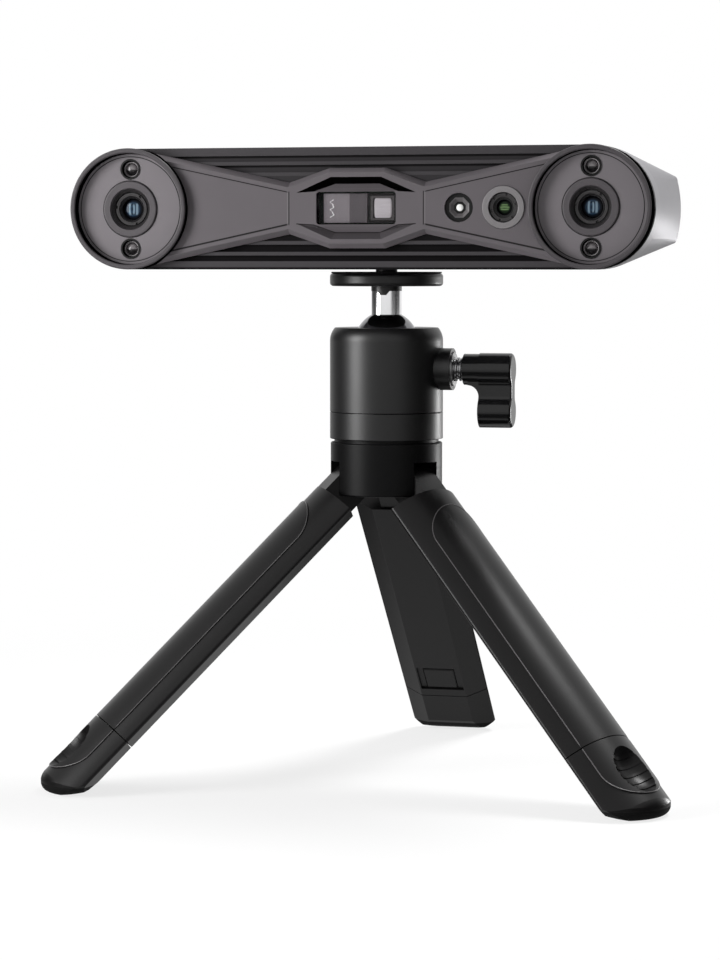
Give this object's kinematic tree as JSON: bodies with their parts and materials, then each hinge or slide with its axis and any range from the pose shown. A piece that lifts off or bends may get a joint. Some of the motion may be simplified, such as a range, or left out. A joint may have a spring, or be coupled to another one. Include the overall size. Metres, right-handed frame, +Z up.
{
  "type": "three-d scanner on a mini tripod",
  "caption": "Handheld stereo three-d scanner with a bow tie fascia between round camera ends, on a folding mini tripod with a ball head, clamp knob and telescoping feet.",
  "frame": {"origin": "on the ground, under the middle of the bounding box of the standing object", "axes": "+Z up, the scanner looks along -Y, +X to the right as seen from in front"},
  "size_m": [0.1788, 0.1586, 0.1804],
  "materials": {
    "frame_metal": "black anodised, satin",
    "fascia": "dark warm grey, fine satin",
    "camera_plates": "mid grey, satin",
    "bezel_rings": "dark grey, satin",
    "lens_hoods": "dark grey, satin",
    "lens_barrels": "black anodised",
    "lens_glass": "coated, polished",
    "infrared_sleeves": "black anodised",
    "infrared_leds": "dark clear",
    "light_holder": "black",
    "white_light": "phosphor",
    "colour_ring": "grey, satin",
    "window": "clear, polished",
    "modules": "black",
    "projector_lens": "bright aperture",
    "rear_shell": "silver grey, fine blasted",
    "brass_insert": "turned",
    "small_screws": "zinc plated",
    "boards": "green circuit board",
    "switch": "black",
    "button": "black, half gloss",
    "status_light": "clear light pipe",
    "usb_metal": "plated",
    "ball": "polished",
    "head": "black anodised, satin",
    "pad": "black",
    "cup": "black acetal",
    "bush": "turned",
    "clamp_screw": "plain turned",
    "clamp_tip": "turned",
    "knob": "black, half gloss",
    "hub": "black, satin",
    "legs": "near black, satin",
    "catches": "near black, satin",
    "soles": "black"
  },
  "bodies": {
    "tripod_head": {"leg_hub": "hub", "leg_pins": "small_screws", "hub_stud": "small_screws", "housing_base": "head", "ball_housing": "head", "knob_bush": "bush"},
    "ball_cup": {"ball_cup": "cup"},
    "ball_stem": {"ball_stem": "ball", "top_plate": "head", "plate_pad": "pad", "mounting_screw": "small_screws"},
    "scanner": {"front_frame": "frame_metal", "front_fascia": "fascia", "rear_shell": "rear_shell", "infrared_sleeves": "infrared_sleeves", "infrared_leds": "infrared_leds", "white_light_holder": "light_holder", "white_light": "white_light", "colour_camera_ring": "colour_ring", "colour_lens_barrel": "lens_barrels", "colour_lens_glass": "lens_glass", "projector_window": "window", "pattern_projector": "modules", "projector_lens": "projector_lens", "laser_module": "modules", "tripod_insert": "brass_insert", "case_screws": "small_screws", "camera_lenses": "lens_glass", "camera_boards": "boards", "main_board": "boards", "board_screws": "small_screws", "optics_board": "boards", "button_switch": "switch", "status_light": "status_light", "usb_board": "boards", "usb_socket": "usb_metal", "left_bezel_ring": "bezel_rings", "left_camera_plate": "camera_plates", "left_lens_hood": "lens_hoods", "left_lens_barrel": "lens_barrels", "right_bezel_ring": "bezel_rings", "right_camera_plate": "camera_plates", "right_lens_hood": "lens_hoods", "right_lens_barrel": "lens_barrels"},
    "scan_button": {"scan_button": "button"},
    "clamp_knob": {"clamp_knob": "knob", "clamp_screw": "clamp_screw", "clamp_pad": "clamp_tip"},
    "right_leg": {"right_leg": "legs"},
    "right_foot": {"right_foot": "legs", "right_sole": "soles"},
    "right_catch": {"right_catch": "catches"},
    "rear_leg": {"rear_leg": "legs"},
    "rear_foot": {"rear_foot": "legs", "rear_sole": "soles"},
    "rear_catch": {"rear_catch": "catches"},
    "left_leg": {"left_leg": "legs"},
    "left_foot": {"left_foot": "legs", "left_sole": "soles"},
    "left_catch": {"left_catch": "catches"}
  },
  "joints": [
    {"name": "ball_pan", "type": "hinge", "parent": "tripod_head", "child": "ball_cup", "pos_m": [0, -0.02161, 0.1254], "axis": [0, 0, 1], "continuous": true},
    {"name": "ball_tilt", "type": "hinge", "parent": "ball_cup", "child": "ball_stem", "pos_m": [0, -0.02161, 0.1254], "axis": [1, 0, 0], "range_deg": [-30, 30]},
    {"name": "scanner_turn", "type": "hinge", "parent": "ball_stem", "child": "scanner", "pos_m": [0, -0.02161, 0.14587], "axis": [0, 0, 1], "continuous": true},
    {"name": "scan_button_push", "type": "slide", "parent": "scanner", "child": "scan_button", "axis": [0, -1, 0], "range_m": [0, 0.0006], "stiffness_N_per_m": 1500, "springref_m": -0.0006},
    {"name": "knob_turn", "type": "hinge", "parent": "tripod_head", "child": "clamp_knob", "pos_m": [0.0276, -0.02161, 0.1181], "axis": [1, 0, 0], "range_deg": [0, 270]},
    {"name": "right_leg_fold", "type": "hinge", "parent": "tripod_head", "child": "right_leg", "pos_m": [0.00866, -0.02661, 0.0862], "axis": [0.5, 0.866, 0], "range_deg": [0, 45.4]},
    {"name": "right_foot_slide", "type": "slide", "parent": "right_leg", "child": "right_foot", "axis": [0.6166, -0.356, -0.7022], "range_m": [0, 0.03]},
    {"name": "right_catch_push", "type": "slide", "parent": "right_leg", "child": "right_catch", "axis": [0.6081, -0.3511, 0.712], "range_m": [0, 0.0008], "stiffness_N_per_m": 800, "springref_m": -0.0006},
    {"name": "rear_leg_fold", "type": "hinge", "parent": "tripod_head", "child": "rear_leg", "pos_m": [0, -0.01161, 0.0862], "axis": [-1, 0, 0], "range_deg": [0, 45.4]},
    {"name": "rear_foot_slide", "type": "slide", "parent": "rear_leg", "child": "rear_foot", "axis": [0, 0.712, -0.7022], "range_m": [0, 0.03]},
    {"name": "rear_catch_push", "type": "slide", "parent": "rear_leg", "child": "rear_catch", "axis": [0, 0.7022, 0.712], "range_m": [0, 0.0008], "stiffness_N_per_m": 800, "springref_m": -0.0006},
    {"name": "left_leg_fold", "type": "hinge", "parent": "tripod_head", "child": "left_leg", "pos_m": [-0.00866, -0.02661, 0.0862], "axis": [0.5, -0.866, 0], "range_deg": [0, 45.4]},
    {"name": "left_foot_slide", "type": "slide", "parent": "left_leg", "child": "left_foot", "axis": [-0.6166, -0.356, -0.7022], "range_m": [0, 0.03]},
    {"name": "left_catch_push", "type": "slide", "parent": "left_leg", "child": "left_catch", "axis": [-0.6081, -0.3511, 0.712], "range_m": [0, 0.0008], "stiffness_N_per_m": 800, "springref_m": -0.0006}
  ]
}
